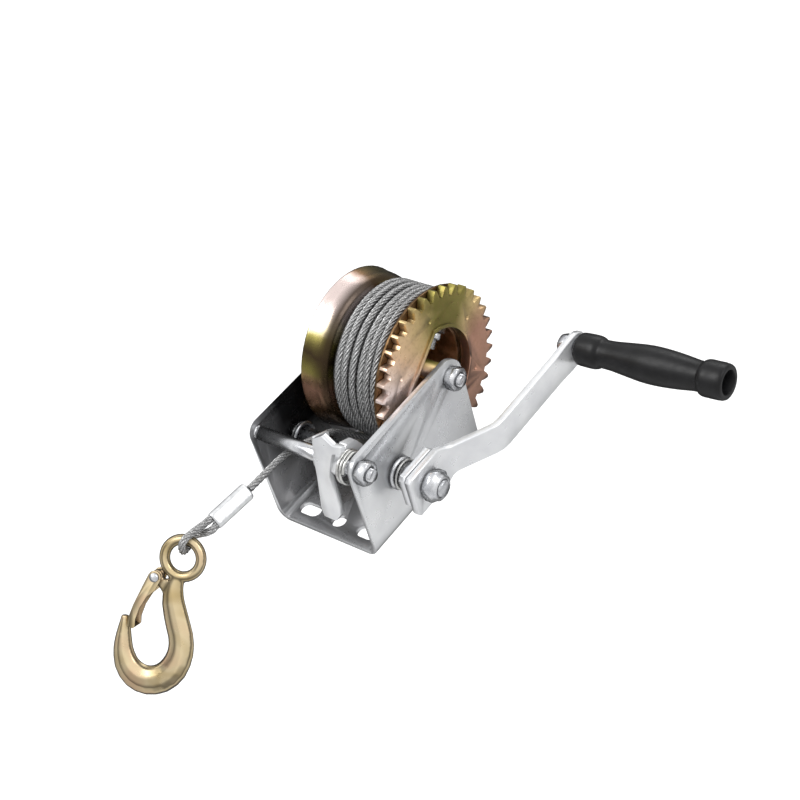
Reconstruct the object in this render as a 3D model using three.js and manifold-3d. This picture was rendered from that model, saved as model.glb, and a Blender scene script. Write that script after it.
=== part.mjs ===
// A hand winch for a boat trailer: a zinc-plated channel frame, a geared cable drum,
// a pinion shaft with a cranked handle, a reversible pawl, and a wire rope with a snap hook.
// Millimetres, +Z up. X runs along the drum axis towards the crank, -Y is the pulling side.
// The origin is the middle of the frame's underside.

import * as THREE from "three";
import { mergeVertices } from "three/addons/utils/BufferGeometryUtils.js";
import Module from "manifold-3d";

const wasm = await Module();
wasm.setup();

// ---------- driving dimensions ----------

const GAP = 0.3; // between pieces that touch
const FRAME = { width: 76, length: 104, height: 74, sheet: 3, bend: 8, frontRadius: 8, rearRadius: 14 };
const HALF = FRAME.width / 2;
const INNER = HALF - FRAME.sheet;
const FRONT = -FRAME.length / 2;
const REAR = FRAME.length / 2;

const AXLE = { y: 41, z: 62, radius: 4 };
const TIE = { y: -45, z: 65, radius: 4.5, threadRadius: 4 };

const GEAR = { teeth: 34, module: 2.95, x0: 25.6, x1: 30.6, addendum: 0.85, dedendum: 1.1 };
const PINION = { teeth: 9, x0: 25.6, x1: 33.2, addendum: 0.75, dedendum: 1.0 };
const PRESSURE = THREE.MathUtils.degToRad(25);
const BACKLASH = 0.55; // taken off every tooth's thickness
const CENTRE = (GEAR.module * (GEAR.teeth + PINION.teeth)) / 2;
const MESH_ANGLE = THREE.MathUtils.degToRad(21.4); // line from the pinion up to the drum axle
const DRIVE = {
  y: AXLE.y - CENTRE * Math.cos(MESH_ANGLE),
  z: AXLE.z - CENTRE * Math.sin(MESH_ANGLE),
  radius: 6,
  threadRadius: 5,
};

const DRUM = {
  barrelRadius: 29,
  flatDistance: 21.5, // from the axis to the flat of the barrel
  flatAngle: THREE.MathUtils.degToRad(125),
  wall: 2,
  x0: -15.3,
  x1: 23.4,
  windingRadius: 47.8,
  rightRadius: 52,
  tubeRadius: 6,
  clampX: 19.6,
  clampAngle: 45, // degrees round the axis, where the rope's end is clamped inside
};

const CABLE = { radius: 2.25, sides: 8 };
const CRANK = { hubX0: 51.5, armX: 58, bendX: 75.5, thickness: 4.4, width: 20, hubSize: 28.5, length: 130 };
const GRIP = { length: 99, boltRadius: 4, tilt: THREE.MathUtils.degToRad(4.6) };
const HOOK = { eyeRadius: 10.6, eyeWire: 3.3 };

// ---------- materials ----------

const finish = (color, roughness, metalness) => new THREE.MeshStandardMaterial({ color, roughness, metalness });
const zinc = finish(0xd4d6d8, 0.3, 1);
const fastener = finish(0xc6c9cc, 0.35, 1);
const goldZinc = finish(0xc9a862, 0.35, 1);
const steel = finish(0xa9acb0, 0.4, 1);
const rope = finish(0x9a9da1, 0.5, 1);
const aluminium = finish(0xd9dadb, 0.4, 1);
const spring = finish(0xb4b7bb, 0.3, 1);
const blackPlastic = finish(0x191a1b, 0.45, 0);

// ---------- solids ----------

function manifoldFrom(positions, triangles) {
  const mesh = new wasm.Mesh({ numProp: 3, vertProperties: positions, triVerts: new Uint32Array(triangles) });
  return new wasm.Manifold(mesh);
}

// A closed geometry as a solid, turned right side out when its faces point inwards.
function solid(geometry) {
  const bare = geometry.index ? geometry.toNonIndexed() : geometry.clone();
  bare.deleteAttribute("normal");
  bare.deleteAttribute("uv");
  const merged = mergeVertices(bare, 1e-4);
  const index = merged.index.array;
  const triangles = [];
  for (let i = 0; i < index.length; i += 3) {
    const [a, b, c] = [index[i], index[i + 1], index[i + 2]];
    if (a !== b && b !== c && c !== a) triangles.push(a, b, c);
  }
  const made = manifoldFrom(merged.attributes.position.array, triangles);
  if (made.volume() >= 0) return made;
  return manifoldFrom(merged.attributes.position.array, triangles.reverse());
}

function geometryOf(body) {
  const mesh = body.getMesh();
  const points = new Float32Array(mesh.numVert * 3);
  for (let i = 0; i < mesh.numVert; i++) {
    points.set(mesh.vertProperties.subarray(i * mesh.numProp, i * mesh.numProp + 3), i * 3);
  }
  const geometry = new THREE.BufferGeometry();
  geometry.setAttribute("position", new THREE.BufferAttribute(points, 3));
  geometry.setIndex(new THREE.BufferAttribute(mesh.triVerts, 1));
  geometry.computeVertexNormals();
  return geometry;
}

function piece(group, name, body, material) {
  const mesh = new THREE.Mesh(geometryOf(body), material);
  mesh.name = name;
  group.add(mesh);
  return mesh;
}

const AXES_X = new THREE.Matrix4().set(0, 0, 1, 0, 1, 0, 0, 0, 0, 1, 0, 0, 0, 0, 0, 1);
const AXES_Y = new THREE.Matrix4().set(1, 0, 0, 0, 0, 0, -1, 0, 0, 1, 0, 0, 0, 0, 0, 1);

// A shape drawn in (y, z), standing between x0 and x1.
function plateX(shape, x0, x1, curveSegments = 8) {
  const geometry = new THREE.ExtrudeGeometry(shape, { depth: x1 - x0, bevelEnabled: false, curveSegments });
  return solid(geometry.applyMatrix4(AXES_X).translate(x0, 0, 0));
}

// A shape drawn in (x, z), running between y0 and y1.
function plateY(shape, y0, y1, curveSegments = 3) {
  const geometry = new THREE.ExtrudeGeometry(shape, { depth: y1 - y0, bevelEnabled: false, curveSegments });
  return solid(geometry.applyMatrix4(AXES_Y).translate(0, y1, 0));
}

// A shape drawn in (x, y), standing between z0 and z1.
function plateZ(shape, z0, z1, curveSegments = 4) {
  const geometry = new THREE.ExtrudeGeometry(shape, { depth: z1 - z0, bevelEnabled: false, curveSegments });
  return solid(geometry.translate(0, 0, z0));
}

// A turned body about the X axis, from [x, radius] pairs.
function turned(profile, sides = 32) {
  const points = profile.map(([x, radius]) => new THREE.Vector2(radius, x));
  return solid(new THREE.LatheGeometry(points, sides).rotateZ(-Math.PI / 2));
}

function rod(x0, x1, radius, sides = 24) {
  return turned([[x0, 0], [x0, radius], [x1, radius], [x1, 0]], sides);
}

function tube(x0, x1, outer, inner, sides = 28) {
  return turned([[x0, inner], [x0, outer], [x1, outer], [x1, inner], [x0, inner]], sides);
}

function box(x0, x1, y0, y1, z0, z1) {
  const geometry = new THREE.BoxGeometry(x1 - x0, y1 - y0, z1 - z0);
  return solid(geometry.translate((x0 + x1) / 2, (y0 + y1) / 2, (z0 + z1) / 2));
}

// A hexagonal prism with its corners turned off at the given ends.
function hexagon(x0, x1, acrossFlats, chamferStart = true, chamferEnd = true) {
  const corner = acrossFlats / Math.sqrt(3);
  const shape = new THREE.Shape();
  for (let i = 0; i < 6; i++) {
    const angle = (i * Math.PI) / 3 + Math.PI / 6;
    shape[i ? "lineTo" : "moveTo"](corner * Math.cos(angle), corner * Math.sin(angle));
  }
  const cut = corner - acrossFlats / 2;
  const start = chamferStart ? acrossFlats / 2 : corner + 1;
  const end = chamferEnd ? acrossFlats / 2 : corner + 1;
  const envelope = turned(
    [[x0, 0], [x0, start], [x0 + cut, corner + 0.2], [x1 - cut, corner + 0.2], [x1, end], [x1, 0]], 18);
  return plateX(shape, x0, x1).intersect(envelope);
}

function nut(x0, x1, acrossFlats, bore, chamferStart, chamferEnd) {
  return hexagon(x0, x1, acrossFlats, chamferStart, chamferEnd).subtract(rod(x0 - 1, x1 + 1, bore, 18));
}

function washer(x0, x1, outer, bore) {
  return tube(x0, x1, outer, bore, 24);
}

// A body lofted through closed rings of points, capped flat at both ends.
function loft(rings) {
  const count = rings[0].length;
  const positions = rings.flat().flatMap((point) => [point.x, point.y, point.z]);
  const triangles = [];
  for (let r = 0; r + 1 < rings.length; r++) {
    for (let i = 0; i < count; i++) {
      const a = r * count + i;
      const b = r * count + ((i + 1) % count);
      triangles.push(a, b, a + count, b, b + count, a + count);
    }
  }
  const last = (rings.length - 1) * count;
  for (let i = 1; i + 1 < count; i++) {
    triangles.push(0, i + 1, i);
    triangles.push(last, last + i, last + i + 1);
  }
  const geometry = new THREE.BufferGeometry();
  geometry.setAttribute("position", new THREE.BufferAttribute(new Float32Array(positions), 3));
  geometry.setIndex(triangles);
  return solid(geometry);
}

// A round wire along a curve, with flat ends.
function wire(curve, radius, sides, steps) {
  const frames = curve.computeFrenetFrames(steps, false);
  const rings = [];
  for (let s = 0; s <= steps; s++) {
    const centre = curve.getPointAt(s / steps);
    const ring = [];
    for (let i = 0; i < sides; i++) {
      const angle = (i / sides) * 2 * Math.PI;
      ring.push(
        centre.clone()
          .addScaledVector(frames.normals[s], radius * Math.cos(angle))
          .addScaledVector(frames.binormals[s], radius * Math.sin(angle)));
    }
    rings.push(ring);
  }
  return loft(rings);
}

// A slot or round hole outline in a plane: its middle, its length along the first axis, its width.
function slot(u, v, length, width) {
  const shape = new THREE.Shape();
  const reach = (length - width) / 2;
  shape.absarc(u + reach, v, width / 2, -Math.PI / 2, Math.PI / 2);
  if (reach > 0) shape.absarc(u - reach, v, width / 2, Math.PI / 2, (3 * Math.PI) / 2);
  else shape.absarc(u, v, width / 2, Math.PI / 2, (3 * Math.PI) / 2);
  return shape;
}

// ---------- gears ----------

// An involute gear outline. Every tooth is thinned by the backlash, and one tooth is centred on `phase`.
function gearOutline({ teeth, addendum, dedendum }, phase) {
  const m = GEAR.module;
  const pitch = (m * teeth) / 2;
  const base = pitch * Math.cos(PRESSURE);
  const tip = pitch + addendum * m;
  const root = pitch - dedendum * m;
  const involute = (radius) => {
    const a = Math.acos(Math.min(1, base / radius));
    return Math.tan(a) - a;
  };
  const halfAtPitch = Math.PI / (2 * teeth) - BACKLASH / (2 * pitch);
  const halfAngle = (radius) => halfAtPitch + involute(pitch) - involute(Math.max(radius, base));
  const start = Math.max(base, root);
  const radii = [0, 0.5, 1].map((t) => start + t * (tip - start));
  const shape = new THREE.Shape();
  const add = (radius, angle) => {
    const verb = shape.curves.length || shape.currentPoint.lengthSq() ? "lineTo" : "moveTo";
    shape[verb](radius * Math.cos(angle), radius * Math.sin(angle));
  };
  for (let k = 0; k < teeth; k++) {
    const middle = phase + (k * 2 * Math.PI) / teeth;
    if (root < start - 0.05) add(root, middle - halfAngle(start));
    radii.forEach((radius) => add(radius, middle - halfAngle(radius)));
    [...radii].reverse().forEach((radius) => add(radius, middle + halfAngle(radius)));
    if (root < start - 0.05) add(root, middle + halfAngle(start));
  }
  shape.closePath();
  return shape;
}

// The barrel's section: a circle with one flat, where the rope's end is clamped.
function barrelSection(radius, flatDistance) {
  const half = Math.acos(flatDistance / radius);
  const shape = new THREE.Shape();
  shape.absarc(0, 0, radius, DRUM.flatAngle + half, DRUM.flatAngle - half + 2 * Math.PI);
  shape.closePath();
  return shape;
}

// ---------- frame ----------

function channel() {
  const { sheet, bend, height, frontRadius, rearRadius } = FRAME;
  const section = new THREE.Shape();
  section.moveTo(-HALF, height);
  section.lineTo(-HALF, bend);
  section.absarc(-HALF + bend, bend, bend, Math.PI, 1.5 * Math.PI);
  section.absarc(HALF - bend, bend, bend, 1.5 * Math.PI, 2 * Math.PI);
  section.lineTo(HALF, height);
  section.lineTo(INNER, height);
  section.lineTo(INNER, bend);
  section.absarc(HALF - bend, bend, bend - sheet, 2 * Math.PI, 1.5 * Math.PI, true);
  section.absarc(-HALF + bend, bend, bend - sheet, 1.5 * Math.PI, Math.PI, true);
  section.closePath();
  let body = plateY(section, FRONT, REAR, 6);

  const side = new THREE.Shape();
  side.moveTo(FRONT - 1, -1);
  side.lineTo(REAR + 1, -1);
  side.lineTo(REAR + 1, height - rearRadius);
  side.lineTo(REAR, height - rearRadius);
  side.absarc(REAR - rearRadius, height - rearRadius, rearRadius, 0, Math.PI / 2);
  side.lineTo(FRONT + frontRadius, height);
  side.absarc(FRONT + frontRadius, height - frontRadius, frontRadius, Math.PI / 2, Math.PI);
  side.lineTo(FRONT - 1, height - frontRadius);
  side.closePath();
  body = body.intersect(plateX(side, -HALF - 1, HALF + 1, 4));

  const through = (y, z, radius) => rod(-HALF - 2, HALF + 2, radius, 20).translate(0, y, z);
  body = body.subtract(through(AXLE.y, AXLE.z, AXLE.radius + GAP));
  body = body.subtract(through(TIE.y, TIE.z, TIE.threadRadius + GAP));
  body = body.subtract(through(DRIVE.y, DRIVE.z, 8 + GAP));
  // two rows of bolt slots, and one hole between them
  for (const y of [-41, 41]) {
    for (const x of [-22, 22]) body = body.subtract(plateZ(slot(x, y, 15, 9.2), -1, sheet + 1));
    body = body.subtract(plateZ(slot(0, y, 9.4, 9.4), -1, sheet + 1));
  }
  return body;
}

function buildFrame(group) {
  piece(group, "frame", channel(), zinc);

  const tie = new THREE.Group();
  tie.position.set(0, TIE.y, TIE.z);
  group.add(tie);
  const shoulder = INNER - GAP;
  const end = HALF + 10;
  const chamfer = 0.7;
  const rivet = HALF + GAP; // the left end is upset into a low head against the plate
  piece(tie, "tie_rod", turned([
    [-rivet - 1.5, 0], [-rivet - 1.5, 4], [-rivet - 0.9, 5.2], [-rivet, 5.6], [-rivet, TIE.threadRadius],
    [-shoulder, TIE.threadRadius], [-shoulder, TIE.radius], [shoulder, TIE.radius],
    [shoulder, TIE.threadRadius], [end - chamfer, TIE.threadRadius], [end, TIE.threadRadius - chamfer], [end, 0],
  ], 24), fastener);
  piece(tie, "tie_nut_right", nut(HALF + GAP, HALF + GAP + 6.8, 13, TIE.threadRadius + GAP), fastener);

  const axle = new THREE.Group();
  axle.position.set(0, AXLE.y, AXLE.z);
  group.add(axle);
  const head = hexagon(-HALF - GAP - 5.3, -HALF - GAP, 13, true, false);
  const shank = turned([
    [-HALF - 1, 0], [-HALF - 1, AXLE.radius], [HALF + 9, AXLE.radius],
    [HALF + 9.7, AXLE.radius - chamfer], [HALF + 9.7, 0],
  ], 24);
  piece(axle, "axle_bolt", head.add(shank), fastener);
  piece(axle, "axle_nut", nut(HALF + GAP, HALF + GAP + 6.8, 13, AXLE.radius + GAP), fastener);

  const drive = new THREE.Group();
  drive.position.set(0, DRIVE.y, DRIVE.z);
  group.add(drive);
  const bush = (sign) => turned([
    [sign * (HALF + 0.5), DRIVE.radius + GAP], [sign * (HALF + 0.5), 8],
    [sign * (INNER - GAP), 8], [sign * (INNER - GAP), 9.2], [sign * (INNER - GAP - 1.4), 9.2],
    [sign * (INNER - GAP - 1.4), DRIVE.radius + GAP], [sign * (HALF + 0.5), DRIVE.radius + GAP],
  ], 32);
  piece(drive, "drive_bush_left", bush(-1), steel);
  piece(drive, "drive_bush_right", bush(1), steel);
}

// ---------- drum ----------

// The left flange: a deep pressed cup whose web closes the barrel and whose band ends in a small lip.
function leftFlange() {
  const face = DRUM.x0 - GAP;
  const back = face - 2;
  const lip = -32.8;
  const hub = DRUM.tubeRadius + GAP;
  return turned([
    [back, hub], [back, 40], [back - 1.9, 44.5], [back - 4.4, 46.6], [lip + 0.5, 47.7], [lip, 49.5],
    [lip + 0.5, 49.7], [lip + 1.5, 49.3], [face - 6.4, 48.4], [face - 3, 47.4], [face - 0.8, 45],
    [face, 41.5], [face, hub], [back, hub],
  ], 56);
}

function drumGear() {
  const gear = plateX(gearOutline(GEAR, Math.PI + MESH_ANGLE), GEAR.x0, GEAR.x1, 1);
  const opening = barrelSection(DRUM.barrelRadius - 1, DRUM.flatDistance - 1);
  const lip = plateX(barrelSection(DRUM.barrelRadius + 1.2, DRUM.flatDistance + 1.2), GEAR.x0, GEAR.x1 + 1.2, 16);
  let body = gear.add(lip).subtract(plateX(opening, GEAR.x0 - 1, GEAR.x1 + 3, 16));
  // weld dimples round the web
  for (let i = 0; i < 6; i++) {
    const angle = DRUM.flatAngle + 0.35 + (i * Math.PI) / 3;
    const dimple = turned([[GEAR.x1 - 0.9, 0], [GEAR.x1 - 0.9, 0.9], [GEAR.x1 + 0.5, 2.1], [GEAR.x1 + 0.5, 0]], 12);
    body = body.subtract(dimple.translate(0, 37 * Math.cos(angle), 37 * Math.sin(angle)));
  }
  return body;
}

function barrel() {
  const outer = plateX(barrelSection(DRUM.barrelRadius, DRUM.flatDistance), DRUM.x0, DRUM.x1, 16);
  const inner = barrelSection(DRUM.barrelRadius - DRUM.wall, DRUM.flatDistance - DRUM.wall);
  const hollow = outer.subtract(plateX(inner, DRUM.x0 - 1, DRUM.x1 + 1, 16));
  const passage = box(-4, 4, -9, 9, 15, 26).rotate([THREE.MathUtils.radToDeg(DRUM.flatAngle) - 90, 0, 0]);
  const screwHole = rod(-6, 6, 2.8, 16).rotate([0, 90, 0]).translate([DRUM.clampX, 0, DRUM.barrelRadius])
    .rotate([DRUM.clampAngle - 90, 0, 0]);
  return hollow.subtract(passage).subtract(screwHole);
}

// The wound rope as one body, rounded off where the outermost turns meet the flanges.
function winding() {
  const x0 = DRUM.x0 + 1.4;
  const x1 = DRUM.x1 - 0.6;
  const round = 1.6;
  const outer = turned([
    [x0, 0], [x0, DRUM.windingRadius - round], [x0 + round, DRUM.windingRadius],
    [x1 - round, DRUM.windingRadius], [x1, DRUM.windingRadius - round], [x1, 0],
  ], 48);
  const core = barrelSection(DRUM.barrelRadius + GAP, DRUM.flatDistance + GAP);
  return outer.subtract(plateX(core, x0 - 5, x1 + 5, 16));
}

function buildDrum(group) {
  const drum = new THREE.Group();
  drum.position.set(0, AXLE.y, AXLE.z);
  group.add(drum);
  piece(drum, "drum_hub_tube", tube(-INNER + 1, INNER - 1, DRUM.tubeRadius, AXLE.radius + GAP, 24), goldZinc);
  piece(drum, "left_flange", leftFlange(), goldZinc);
  piece(drum, "drum_barrel", barrel(), goldZinc);
  const bore = plateX(barrelSection(DRUM.barrelRadius - 1, DRUM.flatDistance - 1), 20, 30, 16);
  const disc = rod(DRUM.x1 + GAP, GEAR.x0 - GAP, DRUM.rightRadius, 48).subtract(bore);
  piece(drum, "right_flange", disc, goldZinc);
  piece(drum, "drum_gear", drumGear(), goldZinc);
  piece(drum, "cable_winding", winding(), rope);

  // a saddle and a screw with its nut, inside the barrel
  const turn = [DRUM.clampAngle - 90, 0, 0];
  const seat = 25.8;
  const saddle = seat - 3.4;
  const clampHole = rod(-30, 30, 2.8, 16).rotate([0, 90, 0]).translate([DRUM.clampX, 0, 0]);
  const clamp = box(DRUM.clampX - 8, DRUM.x1 - 0.8, -6, 6, saddle, seat).subtract(clampHole).rotate(turn);
  piece(drum, "cable_clamp", clamp, steel);
  const screw = rod(-(DRUM.barrelRadius - 0.5), -12, 2.4, 16)
    .add(hexagon(-(saddle - GAP), -(saddle - 4.3), 8, true, true));
  const upright = screw.rotate([0, 90, 0]).translate([DRUM.clampX, 0, 0]).rotate(turn);
  piece(drum, "cable_clamp_screw", upright, fastener);
}

// ---------- drive ----------

// The crank arm: a flat bar that leaves the hub square, steps outwards and runs on to the grip.
function crankArm() {
  const { armX, bendX, hubSize, width, length, thickness } = CRANK;
  const half = hubSize / 2;
  // [along, out, half width, twist]
  const rounded = [0.0, 0.4, 0.75, 0.95];
  const stations = [
    [-half, armX, half - 2, 0], [-half + 2, armX, half, 0], [half - 1, armX, half, 0],
    [half + 5, armX + 0.8, width / 2 + 1.2, 0], [half + 9, armX + 2.6, width / 2, 0],
    [44, bendX - 2.4, width / 2, 0], [48, bendX - 0.6, width / 2, 0], [53, bendX, width / 2, 0],
    [length - 22, bendX, width / 2, 0], [length - 10, bendX, width / 2, GRIP.tilt],
    ...rounded.map((t) => [length + t * 10, bendX, (width / 2) * Math.sqrt(1 - t * t), GRIP.tilt]),
  ];
  const rings = stations.map(([y, x, halfWidth, twist], i) => {
    const before = stations[Math.max(0, i - 1)];
    const after = stations[Math.min(stations.length - 1, i + 1)];
    const along = new THREE.Vector3(after[1] - before[1], after[0] - before[0], 0).normalize();
    const out = new THREE.Vector3(along.y, -along.x, 0);
    const up = new THREE.Vector3(0, 0, 1);
    const outTwisted = out.clone().multiplyScalar(Math.cos(twist)).addScaledVector(up, Math.sin(twist));
    const upTwisted = up.clone().multiplyScalar(Math.cos(twist)).addScaledVector(out, -Math.sin(twist));
    const centre = new THREE.Vector3(x, y, 0);
    const chamfer = 0.6;
    const t = thickness / 2;
    const corners = [
      [t, halfWidth - chamfer], [t - chamfer, halfWidth], [-t + chamfer, halfWidth], [-t, halfWidth - chamfer],
      [-t, -halfWidth + chamfer], [-t + chamfer, -halfWidth], [t - chamfer, -halfWidth], [t, -halfWidth + chamfer],
    ];
    return corners.map(([a, b]) =>
      centre.clone().addScaledVector(outTwisted, a).addScaledVector(upTwisted, b));
  });
  const tilt = THREE.MathUtils.radToDeg(GRIP.tilt);
  const gripHole = rod(-8, 8, GRIP.boltRadius + GAP, 20).rotate([0, -tilt, 0]).translate([bendX, length, 0]);
  return loft(rings).subtract(rod(40, 70, DRIVE.threadRadius + GAP, 24)).subtract(gripHole);
}

function buildDrive(group) {
  const drive = new THREE.Group();
  drive.position.set(0, DRIVE.y, DRIVE.z);
  group.add(drive);

  const shaftEnd = 71;
  const shaft = turned([
    [-HALF - 6, 0], [-HALF - 6, DRIVE.radius - 0.8], [-HALF - 5.2, DRIVE.radius], [-HALF - 3.4, DRIVE.radius],
    [-HALF - 3.4, DRIVE.radius - 1], [-HALF - 2, DRIVE.radius - 1], [-HALF - 2, DRIVE.radius],
    [CRANK.hubX0 - 0.5, DRIVE.radius], [CRANK.hubX0 - 0.5, DRIVE.threadRadius],
    [shaftEnd - 0.8, DRIVE.threadRadius], [shaftEnd, DRIVE.threadRadius - 0.8], [shaftEnd, 0],
  ], 28);
  const pinion = plateX(gearOutline(PINION, MESH_ANGLE + Math.PI / PINION.teeth), PINION.x0, PINION.x1, 1);
  piece(drive, "pinion_shaft", shaft.add(pinion), steel);

  // a spring clip in the groove at the blind end
  const clip = tube(-HALF - 3.2, -HALF - 2.2, 9, DRIVE.radius - 1 + GAP, 28);
  const mouth = box(-HALF - 5, -HALF, -3.4, 3.4, -12, 0);
  piece(drive, "shaft_clip", clip.subtract(mouth), spring);

  const washerX = HALF + 0.5 + GAP;
  piece(drive, "thrust_washer", washer(washerX, washerX + 2, 10, DRIVE.radius + GAP), fastener);
  const cone = turned([
    [washerX + 2.4, DRIVE.radius + GAP], [washerX + 3.6, 9.5], [washerX + 5, 9.5],
    [washerX + 3.8, DRIVE.radius + GAP], [washerX + 2.4, DRIVE.radius + GAP],
  ], 28);
  piece(drive, "spring_washer", cone, spring);
  const collarX = washerX + 5.6;
  piece(drive, "shaft_collar", tube(collarX, CRANK.hubX0 - GAP, 9, DRIVE.radius + GAP, 28), fastener);

  const half = CRANK.hubSize / 2;
  const chamfer = 2.2;
  const outline = new THREE.Shape();
  const corners = [
    [half - chamfer, half], [-half + chamfer, half], [-half, half - chamfer], [-half, -half + 7],
    [-half + 7, -half], [half - 7, -half], [half, -half + 7], [half, half - chamfer],
  ];
  corners.forEach(([y, z], i) => outline[i ? "lineTo" : "moveTo"](y, z));
  outline.closePath();
  const armBack = CRANK.armX - CRANK.thickness / 2;
  const hubBlock = plateX(outline, CRANK.hubX0, armBack - GAP).subtract(
    rod(CRANK.hubX0 - 1, armBack + 1, DRIVE.threadRadius + GAP, 28));
  piece(drive, "crank_hub", hubBlock, zinc);
  piece(drive, "crank_arm", crankArm(), zinc);

  const armFace = CRANK.armX + CRANK.thickness / 2;
  const nutBody = nut(armFace + GAP, armFace + GAP + 6.2, 17, DRIVE.threadRadius + GAP, true, false);
  const collar = turned([
    [armFace + 6, DRIVE.threadRadius + GAP], [armFace + 6, 8.2], [armFace + 8.4, 7.8], [armFace + 9.4, 6.6],
    [armFace + 9.4, DRIVE.threadRadius + GAP], [armFace + 6, DRIVE.threadRadius + GAP],
  ], 28);
  piece(drive, "crank_lock_nut", nutBody.add(collar), fastener);

  // the grip and its bolt stand square on the twisted end of the arm
  const handle = new THREE.Group();
  handle.position.set(CRANK.bendX, CRANK.length, 0);
  handle.rotation.y = -GRIP.tilt;
  drive.add(handle);
  const back = -CRANK.thickness / 2 - GAP;
  const front = CRANK.thickness / 2 + GAP;
  const gripEnd = front + 1.4 + GRIP.length;
  const bolt = turned([
    [back - 8.6, 0], [back - 8.6, GRIP.boltRadius - 0.6], [back - 8, GRIP.boltRadius],
    [gripEnd - 14, GRIP.boltRadius], [gripEnd - 14, 0],
  ], 20);
  piece(handle, "grip_bolt", bolt.add(hexagon(gripEnd - 14.2, gripEnd - 9.6, 10, false, true)), fastener);
  piece(handle, "grip_nut", nut(back - 6.5, back, 13, GRIP.boltRadius + GAP), fastener);
  piece(handle, "grip_washer", washer(front, front + 1, 7.5, GRIP.boltRadius + GAP), fastener);

  const at = (fraction) => front + 1.4 + fraction * GRIP.length;
  const bore = GRIP.boltRadius + GAP;
  piece(handle, "grip", turned([
    [at(0), bore], [at(0), 9.2], [at(0.01), 10], [at(0.12), 10.3], [at(0.15), 9.9], [at(0.165), 8.6],
    [at(0.24), 8.9], [at(0.34), 10], [at(0.46), 11.2], [at(0.56), 11.3], [at(0.68), 10.5], [at(0.79), 9.2],
    [at(0.83), 9], [at(0.845), 10.6], [at(0.865), 11], [at(0.97), 10.9], [at(1), 10.3],
    [at(1), 7], [gripEnd - 14.5, 7], [gripEnd - 14.5, bore], [at(0), bore],
  ], 24), blackPlastic);
}

// ---------- pawl ----------

function buildPawl(group) {
  const pawl = new THREE.Group();
  pawl.position.set(0, TIE.y, TIE.z);
  group.add(pawl);

  // the lever: a flat plate with a thumb tab on top, standing just in front of the tie rod
  const outline = [
    [13.7, -35], [22.5, -35], [26.2, -30], [26.3, -24], [22, -4.9], [24.2, 5], [26.8, 12.2], [33.4, 14.6],
    [34, 18.9], [27.5, 17.8], [20.6, 22.1], [13.4, 17.6], [12.1, 5.3], [12.7, -8.2], [12.3, -29.5],
  ];
  const faceOn = new THREE.Shape(outline.map(([x, z]) => new THREE.Vector2(x, z)));
  const lever = plateY(faceOn, -8.4, -4.6).rotate([-11.3, 0, 0]);
  // the tooth arm that drops into the pinion
  const arm = new THREE.Shape();
  const reach = [
    [0, 6], [6, 10.5], [13.4, 7.4], [17, 1], [17.4, -10], [15.4, -13.8], [12.6, -13.2], [10, -5.6],
    [5.6, -7.6], [0, -6],
  ];
  reach.forEach(([y, z], i) => arm[i ? "lineTo" : "moveTo"](y, z));
  arm.closePath();
  const tooth = plateX(arm, 21.9, 26.9, 6);
  const boss = rod(10, 27.1, 7, 32);
  // a folded lug with the hole that holds the spring's free leg
  const lug = new THREE.Shape();
  lug.moveTo(-6.5, 0);
  lug.lineTo(6.5, 0);
  lug.lineTo(9, 12);
  lug.lineTo(-2, 17);
  lug.closePath();
  const web = plateX(lug, 10, 12, 4).subtract(rod(8, 14, 1.6, 12).translate(0, 3.4, 11.6));
  const bore = rod(5, 40, TIE.radius + GAP, 28);
  piece(pawl, "pawl", lever.add(tooth).add(boss).add(web).subtract(bore), zinc);

  const turns = 2.5;
  const points = [];
  const steps = 28;
  for (let i = 0; i <= steps; i++) {
    const t = i / steps;
    const angle = -0.4 + t * turns * 2 * Math.PI;
    points.push(new THREE.Vector3(28.4 + t * 5.3, 9.4 * Math.cos(angle), 9.4 * Math.sin(angle)));
  }
  const coil = new THREE.CatmullRomCurve3(points, false, "centripetal");
  piece(pawl, "pawl_spring", wire(coil, 0.9, 6, 48), spring);
}

// ---------- rope, ferrule and hook ----------

// The free rope leaves the underside of the winding, passes over the drive shaft and under the tie
// rod, and then runs straight out.
const ROPE_ROUTE = [
  [-9.9, 9.2, 22.9], [-10.4, 6.2, 25.6], [-10.8, 3.3, 28.5], [-11.4, -1, 33.4], [-12.1, -5.4, 38.3],
  [-12.7, -9.7, 43.1], [-13, -12, 45.2], [-13.4, -14.6, 47], [-13.8, -17.5, 48.2], [-14.8, -24, 50.4],
  [-15.8, -31, 52.8], [-16.8, -38, 55], [-17.7, -45, 56.6], [-18.5, -52.5, 57.1], [-19.4, -62.5, 56.6],
  [-20.6, -77.5, 55.9],
];

// Out of the sleeve, round the hook's eye and back.
const LOOP_ROUTE = [
  [-25.1, -105.6, 57.2], [-25.6, -108.9, 57.3], [-25.9, -112.2, 57.6], [-26.1, -115.5, 58.2],
  [-26.2, -118.8, 58.7], [-26.3, -122.2, 59.2], [-26.5, -125.5, 59.2], [-26.8, -128.1, 57.5],
  [-27.5, -128.6, 54.3], [-28.7, -127.8, 51.3], [-30.1, -125.7, 49.1], [-31.4, -122.8, 48.1],
  [-32.3, -119.6, 48.6], [-32.4, -117, 50.4], [-29.9, -115, 51.3], [-27, -113.3, 52], [-24.2, -111.6, 52.6],
  [-22.1, -109.1, 53.2], [-22.1, -105.8, 53.4],
];

const FERRULE = { from: [-20.8, -78.5, 55.8], to: [-23.6, -105.4, 55.3] };

const vector = ([x, y, z]) => new THREE.Vector3(x, y, z);
const along = (route) => new THREE.CatmullRomCurve3(route.map(vector), false, "centripetal");

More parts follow.
